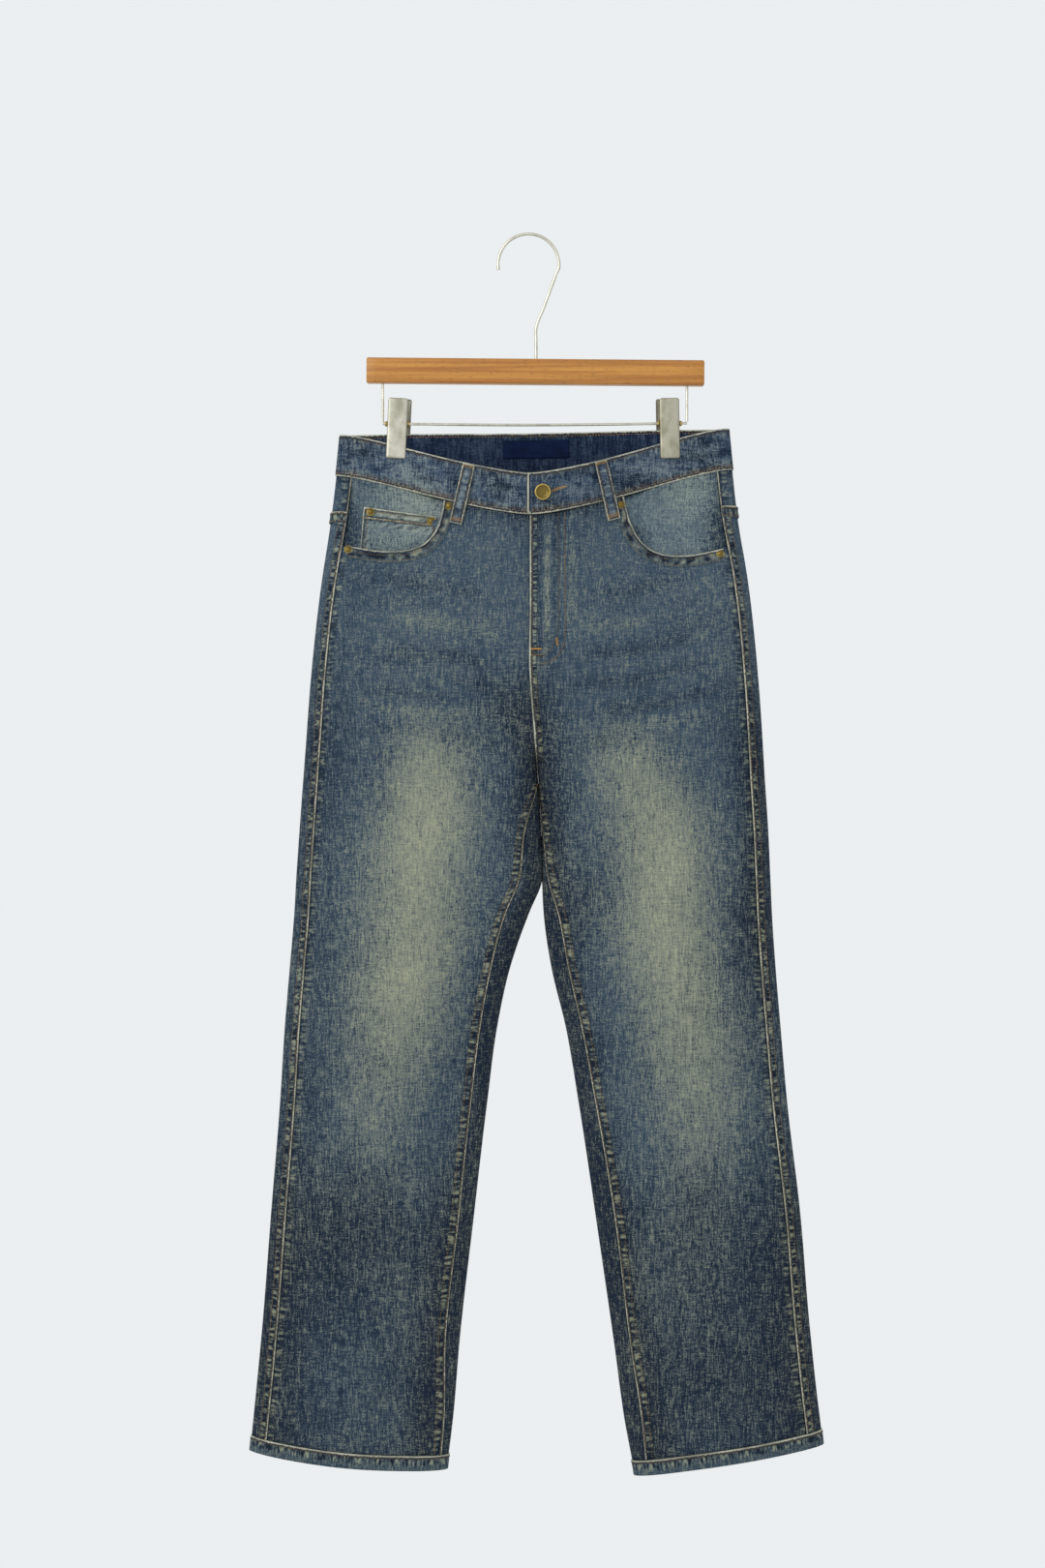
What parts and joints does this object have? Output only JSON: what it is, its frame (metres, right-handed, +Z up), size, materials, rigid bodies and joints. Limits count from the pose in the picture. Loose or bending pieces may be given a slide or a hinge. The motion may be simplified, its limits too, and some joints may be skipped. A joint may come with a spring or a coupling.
{
  "type": "pair of jeans on a clip hanger",
  "caption": "Faded blue straight-leg jeans hung by the waistband from a wooden hanger with two metal clips.",
  "frame": {"origin": "where the inside of the hanger's hook rests on what holds it, at the top of the crook", "axes": "+Z up, along the hanging length; +X to the wearer's left; +Y to the back of the garment"},
  "size_m": [0.5945, 0.0661, 1.2832],
  "materials": {
    "denim_face": "matt faded indigo twill",
    "denim_pocket": "matt faded indigo twill, less worn",
    "label_navy": "matt navy damask weave",
    "antique_brass": "darkened, brushed high spots",
    "oiled_wood": "satin",
    "bright_wire": "satin nickel plate",
    "brushed_clip": "brushed nickel plate"
  },
  "bodies": {
    "root": {"front_right": "denim_face", "front_left": "denim_face", "back_right": "denim_face", "back_left": "denim_face", "yoke_right": "denim_face", "yoke_left": "denim_face", "waistband": "denim_face", "pocket_facing_right": "denim_pocket", "pocket_facing_left": "denim_pocket", "coin_pocket": "denim_face", "back_pocket_right": "denim_face", "back_pocket_left": "denim_face", "belt_loop_front_right": "denim_face", "belt_loop_front_left": "denim_face", "belt_loop_back_right": "denim_face", "belt_loop_back_left": "denim_face", "belt_loop_centre_back": "denim_face", "hem_right": "denim_face", "hem_left": "denim_face", "woven_label": "label_navy", "waist_button": "antique_brass", "rivet_right_inner": "antique_brass", "rivet_right_outer": "antique_brass", "rivet_coin_outer": "antique_brass", "rivet_coin_inner": "antique_brass", "rivet_left_inner": "antique_brass", "rivet_left_outer": "antique_brass", "hanger_bar": "oiled_wood", "hanger_hook": "bright_wire", "hanger_rod": "bright_wire", "hanger_arm_right": "bright_wire", "hanger_arm_left": "bright_wire", "clip_front_right": "brushed_clip", "clip_front_left": "brushed_clip", "clip_rear_right": "brushed_clip", "clip_rear_left": "brushed_clip", "clip_pivot_right": "antique_brass", "clip_pivot_left": "antique_brass"}
  },
  "joints": []
}
